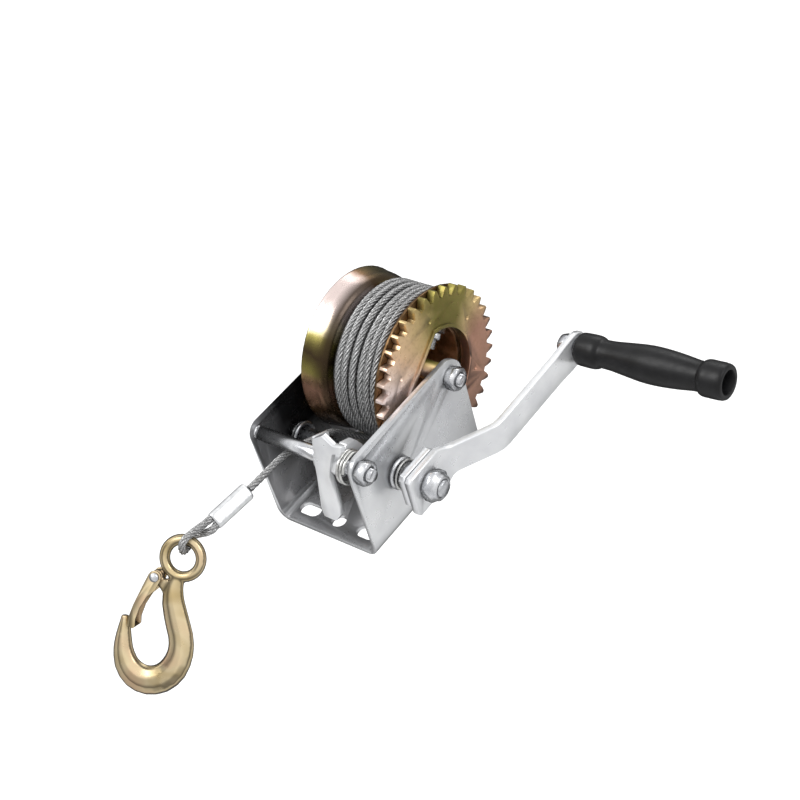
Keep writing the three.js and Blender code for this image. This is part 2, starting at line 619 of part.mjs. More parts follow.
// The hook hangs from the rope's loop, tilted away from the winch.
const HOOK_DOWN = new THREE.Vector3(0, -0.67, -0.742).normalize();
const HOOK_TURN = THREE.MathUtils.degToRad(65);
const HOOK_NORMAL = new THREE.Vector3(1, 0, 0)
  .multiplyScalar(Math.cos(HOOK_TURN))
  .addScaledVector(HOOK_DOWN.clone().cross(new THREE.Vector3(1, 0, 0)), Math.sin(HOOK_TURN))
  .normalize();
const HOOK_SIDE = HOOK_NORMAL.clone().cross(HOOK_DOWN);
const EYE = new THREE.Vector3(-29.6, -129.3, 46.6);

// A point in the hook's own plane: sideways, up towards the rope, and out of the plane.
function inHook(side, up, out = 0) {
  return EYE.clone()
    .addScaledVector(HOOK_SIDE, side)
    .addScaledVector(HOOK_DOWN, -up)
    .addScaledVector(HOOK_NORMAL, out);
}

function buildRope(group) {
  piece(group, "free_cable", wire(along(ROPE_ROUTE), CABLE.radius, CABLE.sides, 30), rope);
  piece(group, "cable_loop", wire(along(LOOP_ROUTE), CABLE.radius, CABLE.sides, 36), rope);

  // the pressed sleeve that closes the loop: an oval round the two strands
  const start = vector(FERRULE.from);
  const end = vector(FERRULE.to);
  const run = end.clone().sub(start).normalize();
  const wide = new THREE.Vector3(0.62, 0, -0.78);
  wide.addScaledVector(run, -wide.dot(run)).normalize();
  const thin = run.clone().cross(wide);
  const ovalRing = (centre, halfWide, halfThin) => {
    const ring = [];
    for (let i = 0; i < 20; i++) {
      const angle = (i / 20) * 2 * Math.PI;
      const flatness = Math.abs(Math.cos(angle)) ** 0.75 * Math.sign(Math.cos(angle));
      ring.push(centre.clone()
        .addScaledVector(wide, halfWide * flatness)
        .addScaledVector(thin, halfThin * Math.sin(angle)));
    }
    return ring;
  };
  const length = start.distanceTo(end);
  const rings = [[0, 4.6, 3.1], [1.2, 5.3, 3.8], [length - 1.2, 5.3, 3.8], [length, 4.6, 3.1]];
  piece(group, "ferrule", loft(rings.map(([at, w, t]) =>
    ovalRing(start.clone().addScaledVector(run, at), w, t))), aluminium);
}

// The hook's bent body, as [side, up, width, thickness] stations from the neck to the point.
const HOOK_BODY = [
  [-0.6, -12.4, 9, 6], [-1.2, -18, 11.4, 7], [-0.2, -25, 13.6, 8], [4.2, -35, 15, 8.2], [9.2, -45.4, 15.2, 8.6],
  [10.4, -54, 15.6, 9.6], [8.2, -63.2, 16.8, 10.4], [3, -70, 17.2, 10.8], [-4.4, -73.4, 17.4, 10.8],
  [-11.6, -72.8, 17.2, 10.6], [-18, -68.4, 15.4, 10], [-22, -61, 12.4, 9.2], [-23.6, -54, 10.2, 8.2],
  [-24.4, -47.4, 7.6, 6.8], [-25.4, -40.6, 4.4, 4.6],
];

function hookBody() {
  const path = new THREE.CatmullRomCurve3(
    HOOK_BODY.map(([side, up]) => new THREE.Vector3(side, up, 0)), false, "centripetal");
  const steps = 26;
  const rings = [];
  for (let s = 0; s <= steps; s++) {
    const t = s / steps;
    const centre = path.getPoint(t);
    const heading = path.getTangent(t);
    const scaled = t * (HOOK_BODY.length - 1);
    const i = Math.min(HOOK_BODY.length - 2, Math.floor(scaled));
    const mix = scaled - i;
    const width = THREE.MathUtils.lerp(HOOK_BODY[i][2], HOOK_BODY[i + 1][2], mix);
    const thick = THREE.MathUtils.lerp(HOOK_BODY[i][3], HOOK_BODY[i + 1][3], mix);
    const ring = [];
    for (let k = 0; k < 10; k++) {
      const angle = (k / 10) * 2 * Math.PI;
      const across = (width / 2) * Math.cos(angle);
      const out = (thick / 2) * Math.sin(angle);
      ring.push(inHook(centre.x + heading.y * across, centre.y - heading.x * across, out));
    }
    rings.push(ring);
  }
  return loft(rings);
}

function eyeRing() {
  const rings = new THREE.TorusGeometry(HOOK.eyeRadius, HOOK.eyeWire, 8, 28);
  const place = new THREE.Matrix4().makeBasis(HOOK_SIDE, HOOK_DOWN.clone().negate(), HOOK_NORMAL);
  return solid(rings.applyMatrix4(place).translate(EYE.x, EYE.y, EYE.z));
}

// A rod square to the hook's plane.
function hookPin(side, up, radius, out0, out1, sides = 16) {
  const pin = new THREE.CylinderGeometry(radius, radius, out1 - out0, sides).rotateX(Math.PI / 2);
  pin.translate(0, 0, (out0 + out1) / 2);
  const place = new THREE.Matrix4().makeBasis(HOOK_SIDE, HOOK_DOWN.clone().negate(), HOOK_NORMAL);
  const at = inHook(side, up);
  return solid(pin.applyMatrix4(place).translate(at.x, at.y, at.z));
}

// A flat outline in the hook's plane, between two heights out of it.
function hookPlate(points, out0, out1) {
  const shape = new THREE.Shape();
  points.forEach(([side, up], i) => shape[i ? "lineTo" : "moveTo"](side, up));
  shape.closePath();
  const geometry = new THREE.ExtrudeGeometry(shape, { depth: out1 - out0, bevelEnabled: false });
  const place = new THREE.Matrix4().makeBasis(HOOK_SIDE, HOOK_DOWN.clone().negate(), HOOK_NORMAL);
  geometry.translate(0, 0, out0).applyMatrix4(place);
  return solid(geometry.translate(EYE.x, EYE.y, EYE.z));
}

const LATCH = { side: -12, up: -13.5, length: 32.4, inside: 4.5, sheet: 1, round: 3.7 };

// A point of the latch in the hook's plane: down its length from the pivot, and across to the shank.
function onLatch(along, across) {
  const lean = Math.atan2(7, 30.2);
  return [
    LATCH.side - along * Math.sin(lean) + across * Math.cos(lean),
    LATCH.up - along * Math.cos(lean) - across * Math.sin(lean),
  ];
}

function roundTop(radius) {
  return Array.from({ length: 7 }, (_, i) => {
    const angle = (i / 6) * Math.PI;
    return onLatch(-radius * Math.sin(angle), -radius * Math.cos(angle));
  });
}

function buildHook(group) {
  const { side, up, inside, sheet, length } = LATCH;
  const ear = hookPlate([...roundTop(3.5), [-2, -13.6], [-2, -26], onLatch(3.5, 0.6), onLatch(2.4, -2.5)], -2, 2);
  const bore = hookPin(side, up, 1.5 + GAP, -9, 9, 12);
  piece(group, "hook", hookBody().add(eyeRing()).add(ear).subtract(bore), goldZinc);

  // the latch: folded sheet, with a cheek on each side of the shank and a web down its outer edge
  const cheek = [
    ...roundTop(LATCH.round), onLatch(6.5, 3.4), onLatch(12, 0.8), onLatch(20, -0.2), onLatch(27, 0.4),
    onLatch(31, 2), onLatch(length, 1.2), onLatch(length, -2), onLatch(28, -3.6), onLatch(20, -4.2), onLatch(8, -4),
  ];
  const web = [
    onLatch(7, -3.94), onLatch(7, -3), onLatch(20, -3.2), onLatch(28, -2.6), onLatch(31.4, -1.2),
    onLatch(31.4, 1.9), onLatch(length, 1.2), onLatch(length, -2), onLatch(28, -3.6), onLatch(20, -4.2),
  ];
  const latch = hookPlate(cheek, inside, inside + sheet)
    .add(hookPlate(cheek, -inside - sheet, -inside))
    .add(hookPlate(web, -inside - sheet / 2, inside + sheet / 2));
  piece(group, "hook_latch", latch.subtract(bore), goldZinc);

  const outside = inside + sheet + GAP;
  const head = (from, to) => hookPin(side, up, 2.6, from, to, 14);
  const rivet = hookPin(side, up, 1.5, -outside - 0.5, outside + 0.5, 14)
    .add(head(outside, outside + 1.1)).add(head(-outside - 1.1, -outside));
  piece(group, "latch_rivet", rivet, fastener);

  // a light torsion spring round the rivet, between the ear and the outer cheek
  const points = [];
  for (let i = 0; i <= 20; i++) {
    const angle = (i / 20) * 2.3 * 2 * Math.PI;
    points.push(inHook(side + 2.5 * Math.cos(angle), up + 2.5 * Math.sin(angle), 2.7 + (i / 20) * 1.4));
  }
  piece(group, "latch_spring", wire(new THREE.CatmullRomCurve3(points), 0.3, 5, 28), spring);
}

// ---------- assembly ----------

const winch = new THREE.Group();
winch.name = "boat_trailer_winch";
buildFrame(winch);
buildDrum(winch);
buildDrive(winch);
buildPawl(winch);
buildRope(winch);
buildHook(winch);

export default winch;
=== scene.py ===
"""A boat trailer winch: zinc plated channel frame, geared drum of wire rope, cranked handle, snap hook.

Lengths are in metres unless a comment says otherwise. The CAD frame's origin is the middle of the
base's underside, +X runs along the drum axis towards the crank, and the rope pulls towards -Y.
"""
import math

import bpy
from mathutils import Matrix, Vector, noise


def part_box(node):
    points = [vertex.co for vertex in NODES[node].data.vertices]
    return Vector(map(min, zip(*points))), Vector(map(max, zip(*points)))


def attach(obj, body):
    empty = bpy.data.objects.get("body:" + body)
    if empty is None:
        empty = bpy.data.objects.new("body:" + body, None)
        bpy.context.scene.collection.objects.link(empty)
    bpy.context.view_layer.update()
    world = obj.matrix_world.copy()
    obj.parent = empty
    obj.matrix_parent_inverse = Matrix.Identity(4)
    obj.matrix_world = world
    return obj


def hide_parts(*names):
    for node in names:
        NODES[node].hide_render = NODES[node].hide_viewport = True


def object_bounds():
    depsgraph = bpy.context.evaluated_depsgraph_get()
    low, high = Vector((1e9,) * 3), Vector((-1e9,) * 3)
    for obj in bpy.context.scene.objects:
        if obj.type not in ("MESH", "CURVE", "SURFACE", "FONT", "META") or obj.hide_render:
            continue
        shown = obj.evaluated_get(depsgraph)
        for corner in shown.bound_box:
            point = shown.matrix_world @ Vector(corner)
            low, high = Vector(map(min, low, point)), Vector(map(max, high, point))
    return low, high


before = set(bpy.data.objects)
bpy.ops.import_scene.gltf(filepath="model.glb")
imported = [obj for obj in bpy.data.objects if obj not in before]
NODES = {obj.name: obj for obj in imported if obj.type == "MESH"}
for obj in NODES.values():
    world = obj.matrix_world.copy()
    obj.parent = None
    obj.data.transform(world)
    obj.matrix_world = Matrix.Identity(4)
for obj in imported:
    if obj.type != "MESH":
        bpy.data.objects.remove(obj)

CAD_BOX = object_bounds()
MM = 0.001


def span(node):
    low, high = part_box(node)
    return Vector(low), Vector(high)


def middle(node):
    low, high = span(node)
    return (low + high) / 2


def axis_through(node):
    """Where the line along X through a node's middle crosses the plane X = 0."""
    at = middle(node)
    return Vector((0, at.y, at.z))


# ---------- sizes worked out from the frame ----------

ROPE_RADIUS = 2.25 * MM
DRUM_AXIS = axis_through("drum_hub_tube")
DRIVE_AXIS = axis_through("thrust_washer")
TIE_AXIS = axis_through("tie_nut_right")
WINDING_LOW, WINDING_HIGH = span("cable_winding")
WINDING_RADIUS = (WINDING_HIGH.z - WINDING_LOW.z) / 2
X_AXIS = Vector((1, 0, 0))

# The grip's axis starts at the middle of the crank arm's thickness, behind the grip's washer.
GRIP_TILT = math.radians(4.6)
GRIP_AXIS = Vector((math.cos(GRIP_TILT), 0, math.sin(GRIP_TILT)))
ARM_TO_WASHER = 3.0 * MM
GRIP_ORIGIN = middle("grip_washer") - GRIP_AXIS * ARM_TO_WASHER


# ---------- camera ----------

CAMERA_AIM = Vector((-13.9, 45.6, 20.0)) * MM
CAMERA_DISTANCE = 982.5 * MM
CAMERA_AZIMUTH = math.radians(47.8)
CAMERA_ELEVATION = math.radians(40.9)
CAMERA_ROLL = math.radians(-16.7)
CAMERA_LENS = 72.0
CAMERA_SENSOR = 36


def add_camera():
    a, e, roll = CAMERA_AZIMUTH, CAMERA_ELEVATION, CAMERA_ROLL
    level = Vector((math.cos(a), math.sin(a), 0))
    forward = Vector((-math.sin(a) * math.cos(e), math.cos(a) * math.cos(e), -math.sin(e)))
    upright = level.cross(forward)
    right = level * math.cos(roll) + upright * math.sin(roll)
    up = upright * math.cos(roll) - level * math.sin(roll)
    data = bpy.data.cameras.new("camera")
    data.lens = CAMERA_LENS
    data.sensor_width = CAMERA_SENSOR
    data.clip_start = 0.01
    data.clip_end = 20
    camera = bpy.data.objects.new("camera", data)
    turn = Matrix((right, up, -forward)).transposed().to_4x4()
    camera.matrix_world = Matrix.Translation(CAMERA_AIM - forward * CAMERA_DISTANCE) @ turn
    bpy.context.scene.collection.objects.link(camera)
    bpy.context.scene.camera = camera


# ---------- mesh helpers ----------

CURVE_STEPS = 24
ROUND_ANGLE = 60


def mesh_object(name, points, faces, material, smooth_angle=35):
    mesh = bpy.data.meshes.new(name)
    mesh.from_pydata(points, [], faces)
    mesh.update()
    obj = bpy.data.objects.new(name, mesh)
    bpy.context.scene.collection.objects.link(obj)
    obj.data.materials.append(material)
    smooth(obj, smooth_angle)
    return obj


def smooth(obj, angle):
    """Smooth shading, with edges sharper than the angle kept crisp."""
    mesh = obj.data
    mesh.polygons.foreach_set("use_smooth", [True] * len(mesh.polygons))
    mesh.set_sharp_from_angle(angle=math.radians(angle))


def frames_along(points):
    """A point, a heading and two cross directions at each point of a path, with no twist between them."""
    count = len(points)
    headings = []
    for i in range(count):
        ahead = points[min(i + 1, count - 1)] - points[max(i - 1, 0)]
        headings.append(ahead.normalized())
    side = headings[0].orthogonal().normalized()
    frames = []
    for point, heading in zip(points, headings):
        side = (side - heading * side.dot(heading)).normalized()
        frames.append((point, heading, side, heading.cross(side)))
    return frames


def swept(path_frames, section):
    """Points and faces of a closed tube: section(i) gives the [(across, up), ...] outline at frame i."""
    points, faces = [], []
    count = len(section(0))
    for i, (point, _, side, up) in enumerate(path_frames):
        points += [point + side * a + up * b for a, b in section(i)]
    for i in range(len(path_frames) - 1):
        for k in range(count):
            a, b = i * count + k, i * count + (k + 1) % count
            faces.append((a, b, b + count, a + count))
    last = (len(path_frames) - 1) * count
    faces.append(tuple(reversed(range(count))))
    faces.append(tuple(range(last, last + count)))
    return points, faces


def circle(radius, sides):
    angles = [2 * math.pi * k / sides for k in range(sides)]
    return [(radius * math.cos(angle), radius * math.sin(angle)) for angle in angles]


def even_path(controls, step):
    """A smooth path through the control points, with points about one step apart."""
    dense = []
    count = len(controls)
    for i in range(count - 1):
        p0 = controls[max(i - 1, 0)]
        p1, p2 = controls[i], controls[i + 1]
        p3 = controls[min(i + 2, count - 1)]
        for k in range(CURVE_STEPS):
            t = k / CURVE_STEPS
            dense.append(0.5 * (2 * p1 + (p2 - p0) * t + (2 * p0 - 5 * p1 + 4 * p2 - p3) * t ** 2
                                + (3 * p1 - p0 - 3 * p2 + p3) * t ** 3))
    dense.append(controls[-1])
    lengths = [0.0]
    for a, b in zip(dense, dense[1:]):
        lengths.append(lengths[-1] + (b - a).length)
    pieces = max(2, round(lengths[-1] / step))
    path, k = [], 0
    for i in range(pieces + 1):
        goal = lengths[-1] * i / pieces
        while k < len(lengths) - 2 and lengths[k + 1] < goal:
            k += 1
        run = lengths[k + 1] - lengths[k]
        t = (goal - lengths[k]) / run if run else 0
        path.append(dense[k].lerp(dense[k + 1], min(1, max(0, t))))
    return path


def lathe(profile, origin, axis, sides):
    """Points and faces of a turned body; its profile of (along, radius) ends where it starts."""
    axis = axis.normalized()
    side = axis.orthogonal().normalized()
    up = axis.cross(side)
    points = []
    for along, radius in profile:
        points += [origin + axis * along + side * a + up * b for a, b in circle(radius, sides)]
    faces = []
    for ring in range(len(profile) - 1):
        first, second = ring * sides, (ring + 1) * sides
        for k in range(sides):
            n = (k + 1) % sides
            faces.append((first + k, first + n, second + n, second + k))
    return points, faces


# ---------- materials ----------

STRAW = (0.55, 0.41, 0.19)
OLIVE = (0.22, 0.19, 0.05)
ROSE = (0.48, 0.26, 0.18)
PEACH = (0.76, 0.52, 0.33)
PALE = (0.80, 0.70, 0.48)
WARM = (0.78, 0.64, 0.40)
BLUSH = (0.84, 0.70, 0.66)
BROWN = (0.20, 0.11, 0.05)
UMBER = (0.045, 0.028, 0.014)
GEAR_GRIME = (0.30, 0.18, 0.08)
BASE_TOP_SHADE = (0.30, 0.30, 0.31)
PLATE_SHADE = (0.012, 0.012, 0.013)
PAPER = (0.93, 0.93, 0.93)

# Passivation tints with painted highlights and painted dark reflections among them, following each other
# round the drum's axis: (degrees from +Y upwards, colour).
GEAR_TINT_AND_SHEEN = [
    (0, ROSE), (26, STRAW), (44, OLIVE), (80, OLIVE), (100, STRAW), (128, PEACH),
    (160, BLUSH), (185, PEACH), (225, STRAW), (262, BROWN), (300, ROSE), (360, ROSE),
]
CUP_TINT_AND_SHEEN = [
    (0, OLIVE), (30, STRAW), (52, OLIVE), (70, BROWN), (84, BLUSH), (112, BLUSH),
    (124, PALE), (134, OLIVE), (146, UMBER), (158, OLIVE), (172, ROSE), (190, BROWN),
    (215, UMBER), (250, OLIVE), (285, PEACH), (320, ROSE), (345, STRAW), (360, OLIVE),
]

# Painted reflection and shade, by how far a face turns away: (0 facing to 1 edge on, brightness).
SOFT_RIM_REFLECTION = [(0.0, 1.0), (0.5, 0.95), (0.8, 0.55), (1.0, 0.25)]
STRIPED_REFLECTION = [(0.0, 0.9), (0.1, 1.0), (0.2, 0.45), (0.3, 0.9), (0.45, 1.0), (0.6, 0.3), (1.0, 0.08)]
HARD_RIM_REFLECTION = [(0.0, 1.0), (0.3, 0.95), (0.5, 0.3), (0.7, 0.7), (1.0, 0.08)]
GEAR_RIM_REFLECTION = [(0.0, 1.05), (0.45, 1.0), (0.72, 0.4), (1.0, 0.12)]
CUP_RIM_REFLECTION = [(0.0, 1.0), (0.5, 0.9), (0.75, 0.35), (1.0, 0.1)]
WIRE_EDGE_SHADE = [(0.0, 1.0), (0.55, 0.85), (0.8, 0.3), (1.0, 0.1)]
HOOK_PAINTED_REFLECTION = [
    (0.0, 1.05), (0.06, 1.0), (0.12, 0.42), (0.2, 0.22),
    (0.3, 0.7), (0.42, 0.55), (0.55, 0.12), (1.0, 0.03),
]

# The colour sockets of a mix node.
MIX_A, MIX_B, MIX_RESULT = 6, 7, 2


class Surface:
    """A Principled material with a few procedural layers."""

    def __init__(self, name, metallic=1.0, roughness=0.3, specular=0.5):
        self.material = bpy.data.materials.new(name)
        self.material.use_nodes = True
        self.tree = self.material.node_tree
        self.shader = self.tree.nodes["Principled BSDF"]
        self.shader.inputs["Metallic"].default_value = metallic
        self.shader.inputs["Roughness"].default_value = roughness
        self.shader.inputs["Specular IOR Level"].default_value = specular
        self.height = None

    def node(self, kind, **values):
        made = self.tree.nodes.new(kind)
        for key, value in values.items():
            setattr(made, key, value)
        return made

    def link(self, out, into):
        self.tree.links.new(out, into)

    def noise(self, scale, detail, distortion=0.0):
        """A noise value over the object's own coordinates; scale is in repeats per metre."""
        place = self.node("ShaderNodeTexCoord")
        texture = self.node("ShaderNodeTexNoise")
        texture.inputs["Scale"].default_value = scale
        texture.inputs["Detail"].default_value = detail
        texture.inputs["Roughness"].default_value = 0.55
        texture.inputs["Distortion"].default_value = distortion
        self.link(place.outputs["Object"], texture.inputs["Vector"])
        return texture.outputs["Fac"]

    def ramp(self, value, stops):
        """A colour ramp from stops of (position, colour)."""
        made = self.node("ShaderNodeValToRGB")
        ramp = made.color_ramp
        while len(ramp.elements) < len(stops):
            ramp.elements.new(0.5)
        for element, (position, colour) in zip(ramp.elements, stops):
            element.position = position
            element.color = (*colour, 1)
        self.link(value, made.inputs["Fac"])
        return made.outputs["Color"]

    def mix(self, factor, a, b, blend="MIX"):
        """Two colours mixed; the factor and each colour is a value or another node's output."""
        made = self.node("ShaderNodeMix", data_type="RGBA", blend_type=blend)
        if isinstance(factor, float):
            made.inputs[0].default_value = factor
        else:
            self.link(factor, made.inputs[0])
        for socket, value in ((made.inputs[MIX_A], a), (made.inputs[MIX_B], b)):
            if isinstance(value, tuple):
                socket.default_value = (*value, 1)
            else:
                self.link(value, socket)
        return made.outputs[MIX_RESULT]

    def remap(self, value, low, high, from_low=0.3, from_high=0.7):
        """A value taken from one range to another and held there; noise lies mostly in 0.3 to 0.7."""
        made = self.node("ShaderNodeMapRange")
        made.inputs["From Min"].default_value = from_low
        made.inputs["From Max"].default_value = from_high
        made.inputs["To Min"].default_value = low
        made.inputs["To Max"].default_value = high
        self.link(value, made.inputs["Value"])
        return made.outputs["Result"]

    def calc(self, operation, a, b=0):
        """One step of arithmetic on numbers or other nodes' outputs."""
        made = self.node("ShaderNodeMath", operation=operation)
        for socket, value in zip(made.inputs, (a, b)):
            if isinstance(value, (int, float)):
                socket.default_value = value
            else:
                self.link(value, socket)
        return made.outputs["Value"]

    def painted_rim_reflection(self, base, stops):
        """The colour with painted reflection and shade laid on by how far a face turns away."""
        weight = self.node("ShaderNodeLayerWeight")
        weight.inputs["Blend"].default_value = 0.5
        shade = self.ramp(weight.outputs["Facing"], [(at, (level,) * 3) for at, level in stops])
        return self.mix(1.0, base, shade, "MULTIPLY")

    def offset_from(self, centre):
        """X, Y and Z measured from a point of the object."""
        place = self.node("ShaderNodeTexCoord")
        shift = self.node("ShaderNodeVectorMath", operation="SUBTRACT")
        self.link(place.outputs["Object"], shift.inputs[0])
        shift.inputs[1].default_value = centre
        split = self.node("ShaderNodeSeparateXYZ")
        self.link(shift.outputs["Vector"], split.inputs["Vector"])
        return split.outputs["X"], split.outputs["Y"], split.outputs["Z"]

    def drifting_round(self, centre, wander, stops):
        """Colours that follow each other round the X axis, with edges that wander a little."""
        _, y, z = self.offset_from(centre)
        turn = self.calc("ARCTAN2", self.calc("MULTIPLY", z, -1), self.calc("MULTIPLY", y, -1))
        whole = self.calc("ADD", self.calc("DIVIDE", turn, 2 * math.pi), 0.5)
        drift = self.calc("MULTIPLY", self.calc("SUBTRACT", self.noise(45, detail=3), 0.5), wander)
        return self.ramp(self.calc("ADD", whole, drift), [(at / 360, colour) for at, colour in stops])

    def repaint(self, mask, colour):
        """Another colour laid over the material's own where the mask is 1."""
        plain = self.shader.inputs["Base Color"].links[0].from_socket
        self.colour(self.mix(mask, plain, colour))

    def colour(self, value):
        self.link(value, self.shader.inputs["Base Color"])

    def roughness(self, value):
        self.link(value, self.shader.inputs["Roughness"])

    def bump(self, value, distance, strength):
        """One more layer of relief on top of those before it."""
        made = self.node("ShaderNodeBump")
        made.inputs["Distance"].default_value = distance
        made.inputs["Strength"].default_value = strength
        self.link(value, made.inputs["Height"])
        if self.height is not None:
            self.link(self.height, made.inputs["Normal"])
        self.height = made.outputs["Normal"]
        self.link(self.height, self.shader.inputs["Normal"])


def zinc_surface(name, light, dark, roughness, patches, metallic, rim):
    """Zinc plate: pale metal with soft cloudy patches, and painted dark reflections towards its turned edges.
    """
    made = Surface(name, metallic=metallic, specular=0.4)
    cloud = made.noise(patches, detail=3)
    made.colour(made.painted_rim_reflection(made.ramp(cloud, [(0.35, dark), (0.65, light)]), rim))
    made.roughness(made.remap(made.noise(patches * 3, detail=4), *roughness))
    made.bump(made.noise(900, detail=3), distance=0.02 * MM, strength=0.12)
    made.bump(made.noise(24, detail=1), distance=0.3 * MM, strength=0.1)
    return made


def plate_surface(name, light, dark):
    """The zinc of the frame's plates."""
    return zinc_surface(name, light, dark, roughness=(0.24, 0.34), patches=22, metallic=0.7, rim=SOFT_RIM_REFLECTION)


def frame_surface():
    """The frame's zinc, with painted shade darkening the upper face of its base."""
    made = plate_surface("frame_zinc", light=(0.76, 0.77, 0.78), dark=(0.60, 0.61, 0.63))
    _, _, z = made.offset_from((0, 0, 0))
    above = made.remap(z, 0, 1, 3 * MM, 12 * MM)
    base_top = made.calc("SUBTRACT", made.remap(z, 0, 1, 1.8 * MM, 2.8 * MM), above)
    # Painted shade: the base's upper face turns towards grey.
    made.repaint(made.calc("MULTIPLY", base_top, 0.75), BASE_TOP_SHADE)
    return made.material


def shaded_surface():
    """The inner face of the left plate, which the drum keeps in its shade."""
    made = plate_surface("shaded_zinc", light=(0.46, 0.46, 0.47), dark=(0.34, 0.34, 0.35))
    _, y, z = made.offset_from((0, 0, 0))
    rearward = made.remap(y, 0.25, 1, -52 * MM, -26 * MM)
    upward = made.remap(z, 0, 1, 24 * MM, 44 * MM)
    # Painted shade: darkest towards the rear and the top, next to the drum.
    made.repaint(made.calc("MULTIPLY", rearward, upward), PLATE_SHADE)
    return made.material


def bar_surface():
    """The crank and the pawl: the palest zinc."""
    return zinc_surface("bar_zinc", light=(0.84, 0.85, 0.86), dark=(0.70, 0.71, 0.73),
                        roughness=(0.26, 0.38), patches=40, metallic=0.6, rim=SOFT_RIM_REFLECTION).material


def rod_surface():
    """Rods and bolts, with painted bright and dark reflection stripes along them."""
    return zinc_surface("rod_zinc", light=(0.82, 0.83, 0.85), dark=(0.62, 0.63, 0.66),
                        roughness=(0.22, 0.3), patches=160, metallic=0.9, rim=STRIPED_REFLECTION).material


def nut_surface():
    """Nuts, washers and threads, with painted dark reflections towards their edges."""
    return zinc_surface("nut_zinc", light=(0.80, 0.81, 0.83), dark=(0.56, 0.57, 0.60),
                        roughness=(0.2, 0.32), patches=160, metallic=0.9, rim=HARD_RIM_REFLECTION).material


def gold_surface(name, roughness):
    """Yellow passivated zinc, before its colours."""
    made = Surface(name, metallic=0.85)
    made.roughness(made.remap(made.noise(150, detail=6), *roughness))
    made.bump(made.noise(700, detail=3), distance=0.03 * MM, strength=0.3)
    made.bump(made.noise(60, detail=1), distance=0.5 * MM, strength=0.15)
    return made


def gear_surface(centre):
    """The gear's bands of tint, painted highlight and painted reflection, with small brown patches in them.
    """
    made = gold_surface("gear_gold", roughness=(0.26, 0.4))
    base = made.drifting_round(centre, 0.10, GEAR_TINT_AND_SHEEN)
    patch = made.noise(420, detail=6)
    base = made.mix(made.remap(patch, 0.0, 0.4, 0.5, 0.72), base, GEAR_GRIME)
    made.colour(made.painted_rim_reflection(base, GEAR_RIM_REFLECTION))
    return made.material


def cup_surface(centre):
    """The cup's bands of tint, painted highlight and painted reflection, with painted shadow along the edge
    beside the rope.
    """
    made = gold_surface("flange_gold", roughness=(0.2, 0.34))
    base = made.drifting_round(centre, 0.05, CUP_TINT_AND_SHEEN)
    x, y, z = made.offset_from(centre)
    radius = made.calc("SQRT", made.calc("ADD", made.calc("POWER", y, 2), made.calc("POWER", z, 2)))
    outside = made.remap(radius, 0, 1, 43 * MM, 45 * MM)
    beside_rope = made.remap(x, 0, 0.92, -25.5 * MM, -18.5 * MM)
    # Painted shadow: umber where the rim meets the wound rope.
    made.colour(made.painted_rim_reflection(made.mix(made.calc("MULTIPLY", outside, beside_rope), base, UMBER), CUP_RIM_REFLECTION))
    return made.material


def hook_surface():
    """A forged hook: pale straw faces, with painted highlights and dark olive painted reflections towards the
    edges.
    """
    made = gold_surface("hook_gold", roughness=(0.26, 0.38))
    drift = made.noise(30, detail=2, distortion=0.6)
    made.colour(made.painted_rim_reflection(made.ramp(drift, [(0.34, PEACH), (0.5, WARM), (0.66, STRAW)]), HOOK_PAINTED_REFLECTION))
    return made.material


def rope_surface(name, level):
    """Galvanised wire: dull grey, with painted shade in the grooves and brighter worn wires."""
    made = Surface(name, metallic=0.75, roughness=0.42)
    tones = [(at, (grey * level,) * 3) for at, grey in ((0.32, 0.10), (0.5, 0.34), (0.66, 0.72))]
    base = made.ramp(made.noise(1700, detail=5), tones)
    made.colour(made.painted_rim_reflection(base, WIRE_EDGE_SHADE))
    made.roughness(made.remap(made.noise(1500, detail=2), 0.3, 0.55))
    made.bump(made.noise(2600, detail=2), distance=0.08 * MM, strength=0.6)
    return made.material


def plastic_surface():
    """Black moulded plastic with a satin grain."""
    made = Surface("black_plastic", metallic=0.0, roughness=0.4, specular=0.28)
    tones = [(0.3, (0.003, 0.003, 0.0034)), (0.7, (0.008, 0.008, 0.009))]
    made.colour(made.ramp(made.noise(120, detail=4), tones))
    made.roughness(made.remap(made.noise(260, detail=6), 0.32, 0.46))
    made.bump(made.noise(5200, detail=2), distance=0.03 * MM, strength=0.5)
    return made.material


def dull_surface(name, light, dark, roughness):
    """Plain metal with a fine grain."""
    made = Surface(name, roughness=roughness)
    made.colour(made.ramp(made.noise(300, detail=6), [(0.3, dark), (0.7, light)]))
    made.roughness(made.remap(made.noise(700, detail=4), roughness - 0.07, roughness + 0.1))
    made.bump(made.noise(1800, detail=3), distance=0.03 * MM, strength=0.5)
    return made.material


def in_drum(node):
    """The drum's middle in a node's own coordinates."""
    return NODES[node].matrix_world.inverted() @ DRUM_AXIS


FRAME_ZINC = frame_surface()
SHADED_ZINC = shaded_surface()
BAR_ZINC = bar_surface()
ROD_ZINC = rod_surface()
NUT_ZINC = nut_surface()
GEAR_GOLD = gear_surface(in_drum("drum_gear"))
FLANGE_GOLD = cup_surface(in_drum("left_flange"))
HOOK_GOLD = hook_surface()
BARREL_GOLD = dull_surface("barrel_gold", light=(0.78, 0.52, 0.36), dark=(0.55, 0.36, 0.2), roughness=0.34)
# Painted shade: the right flange, seen in the gaps between the gear's teeth, is coloured as shade.
SHADED_GOLD = dull_surface("shaded_gold", light=(0.20, 0.12, 0.06), dark=(0.08, 0.045, 0.02), roughness=0.34)
WIRE = rope_surface("galvanised_wire", 1.0)
